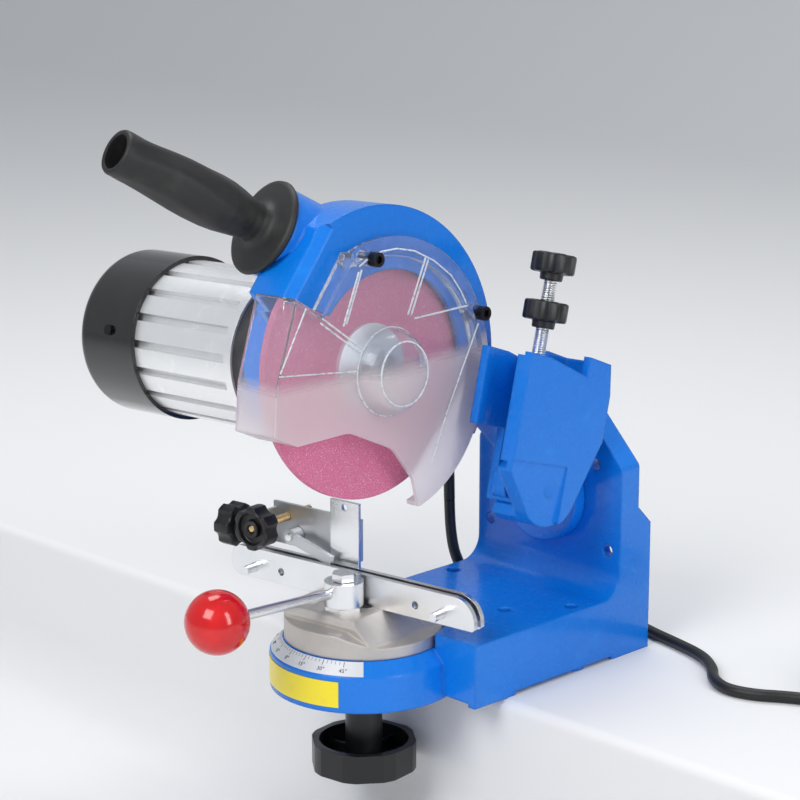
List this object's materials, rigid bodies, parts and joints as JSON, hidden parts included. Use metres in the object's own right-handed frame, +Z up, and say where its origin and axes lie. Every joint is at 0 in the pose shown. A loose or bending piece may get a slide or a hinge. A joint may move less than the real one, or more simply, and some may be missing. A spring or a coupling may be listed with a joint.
{
  "type": "electric saw chain sharpener",
  "caption": "Bench-mounted electric saw chain sharpener: thin grinding wheel on a tilting, swinging motor head above a swivelling chain vise.",
  "frame": {"origin": "midway between the two rear bench bolt holes, on the bench plane", "axes": "+X to the side away from the motor, +Y to the upright at the back, +Z up; the operator stands at -Y"},
  "size_m": [0.4585, 0.3917, 0.3647],
  "materials": {
    "blue_enamel": "glossy blue enamel on cast metal",
    "bare_casting": "as-cast, satin",
    "scale_plate": "printed silver plate",
    "label_yellow": "plain yellow sticker",
    "plated_steel": "bright zinc plating",
    "zinc_sheet": "zinc-plated sheet",
    "yellow_zinc": "yellow passivated zinc",
    "spring_steel": "oiled",
    "black_plastic": "moulded, satin",
    "grip_rubber": "soft satin",
    "cap_black": "gloss black",
    "ring_grey": "satin",
    "motor_aluminium": "machined and bright",
    "ball_red": "gloss red",
    "switch_red": "gloss red",
    "abrasive": "coarse pink aluminium oxide grit",
    "clear_plastic": "clear moulded polycarbonate",
    "black_screws": "black oxide",
    "motor_steel": "ground",
    "cord_black": "black flex",
    "pin_brass": "bright"
  },
  "bodies": {
    "base": {"base_casting": "blue_enamel", "angle_scale": "scale_plate", "front_label": "label_yellow", "cord_floor": "cord_black", "cord_tail": "cord_black", "cord_coil": "cord_black", "plug": "cord_black", "plug_pins": "pin_brass"},
    "tilt_frame": {"tilt_bracket": "blue_enamel", "tilt_bolt": "plated_steel"},
    "head": {"head_casting": "blue_enamel", "hinge_pin": "plated_steel", "return_spring": "spring_steel", "handle_grip": "grip_rubber", "handle_stud": "plated_steel", "motor_housing": "motor_aluminium", "motor_front_ring": "ring_grey", "motor_end_cap": "cap_black", "cap_screws": "black_screws", "stator": "motor_steel", "spindle_bearings": "motor_steel", "rear_bearing_bracket": "motor_aluminium", "wheel_guard": "clear_plastic", "guard_spacers": "clear_plastic", "guard_screws": "black_screws", "switch_housing": "black_plastic", "cord_gland": "black_plastic", "cord_drop": "cord_black"},
    "spindle": {"spindle": "motor_steel", "rotor": "motor_steel", "cooling_fan": "ring_grey", "wheel_flanges": "motor_aluminium", "grinding_wheel": "abrasive", "spindle_nut": "motor_steel"},
    "vise": {"vise_turntable": "bare_casting", "swivel_stud": "plated_steel", "rear_rail": "plated_steel", "rail_guide_pins": "plated_steel", "clamp_bolt": "plated_steel", "clamp_nut": "plated_steel", "stop_post": "plated_steel", "post_screws": "plated_steel", "stop_bracket": "zinc_sheet", "pawl_pin": "plated_steel"},
    "swivel_lock": {"swivel_knob": "black_plastic", "swivel_washer": "plated_steel"},
    "clamp_handle": {"clamp_hub": "plated_steel", "clamp_lever": "plated_steel", "lever_ball": "ball_red"},
    "clamp_rail": {"front_rail": "plated_steel"},
    "stop_pawl": {"stop_pawl": "zinc_sheet"},
    "stop_screw": {"stop_screw": "yellow_zinc"},
    "stop_knob": {"stop_knob": "black_plastic"},
    "stop_lock": {"stop_lock_screw": "zinc_sheet", "stop_lock_knob": "black_plastic"},
    "tilt_lock": {"tilt_lock_knob": "black_plastic"},
    "depth_screw": {"depth_screw": "plated_steel"},
    "depth_knob": {"depth_knob": "black_plastic"},
    "depth_lock": {"depth_lock_knob": "black_plastic"},
    "switch_rocker": {"switch_rocker": "switch_red"}
  },
  "joints": [
    {"name": "head_tilt", "type": "hinge", "parent": "base", "child": "tilt_frame", "pos_m": [0, 0.031, 0.088], "axis": [0, 1, 0], "range_deg": [0, 35]},
    {"name": "head_swing", "type": "hinge", "parent": "tilt_frame", "child": "head", "pos_m": [-0.00096, -0.022, 0.10637], "axis": [0.9986, 0, 0.0523], "range_deg": [0, 22.5], "stiffness_Nm_per_rad": 6, "springref_deg": -57.3},
    {"name": "wheel_spin", "type": "hinge", "parent": "head", "child": "spindle", "pos_m": [-0.02002, -0.097, 0.17948], "axis": [0.9986, 0, 0.0523], "continuous": true},
    {"name": "vise_swivel", "type": "hinge", "parent": "base", "child": "vise", "pos_m": [-0.02, -0.098, 0.036], "axis": [0, 0, 1], "range_deg": [-37.5, 22.5]},
    {"name": "swivel_lock_turn", "type": "hinge", "parent": "vise", "child": "swivel_lock", "pos_m": [-0.02, -0.098, -0.03], "axis": [0, 0, 1], "range_deg": [-180, 180]},
    {"name": "clamp_turn", "type": "hinge", "parent": "vise", "child": "clamp_handle", "pos_m": [-0.01778, -0.11485, 0.055], "axis": [0, 0, 1], "range_deg": [0, 45]},
    {"name": "rail_clamp", "type": "slide", "parent": "vise", "child": "clamp_rail", "axis": [0.1305, -0.9914, 0], "range_m": [0, 0.0008]},
    {"name": "pawl_flip", "type": "hinge", "parent": "vise", "child": "stop_pawl", "pos_m": [-0.07155, -0.10479, 0.0735], "axis": [0.1305, -0.9914, 0], "range_deg": [0, 50]},
    {"name": "stop_travel", "type": "slide", "parent": "vise", "child": "stop_screw", "axis": [-0.1305, 0.9914, 0], "range_m": [-0.003, 0.003]},
    {"name": "stop_turn", "type": "hinge", "parent": "stop_screw", "child": "stop_knob", "pos_m": [-0.07631, -0.12992, 0.0823], "axis": [-0.1305, 0.9914, 0], "range_deg": [-1081, 1081]},
    {"name": "stop_lock_turn", "type": "hinge", "parent": "vise", "child": "stop_lock", "pos_m": [-0.08862, -0.11309, 0.076], "axis": [0.9914, 0.1305, 0], "range_deg": [-180, 180]},
    {"name": "tilt_lock_turn", "type": "hinge", "parent": "tilt_frame", "child": "tilt_lock", "pos_m": [0, 0.061, 0.088], "axis": [0, 1, 0], "range_deg": [-180, 180]},
    {"name": "depth_travel", "type": "slide", "parent": "head", "child": "depth_screw", "axis": [-0.0502, 0.284, 0.9575], "range_m": [-0.00375, 0.0075]},
    {"name": "depth_turn", "type": "hinge", "parent": "depth_screw", "child": "depth_knob", "pos_m": [0.02667, 0.00051, 0.21916], "axis": [-0.0502, 0.284, 0.9575], "range_deg": [-1081, 2161]},
    {"name": "depth_lock_turn", "type": "hinge", "parent": "depth_screw", "child": "depth_lock", "pos_m": [0.028, -0.00702, 0.19379], "axis": [-0.0502, 0.284, 0.9575], "range_deg": [-360, 360]},
    {"name": "switch_rock", "type": "hinge", "parent": "head", "child": "switch_rocker", "pos_m": [0.02986, 0.02425, 0.13918], "axis": [0.9986, 0, 0.0523], "range_deg": [-9, 9]}
  ],
  "couplings": [
    {"joint": "rail_clamp", "follows": "clamp_turn", "m_per_rad": 0.0010059},
    {"joint": "stop_turn", "follows": "stop_travel", "rad_per_m": 6283.2},
    {"joint": "depth_turn", "follows": "depth_travel", "rad_per_m": 5026.5}
  ]
}
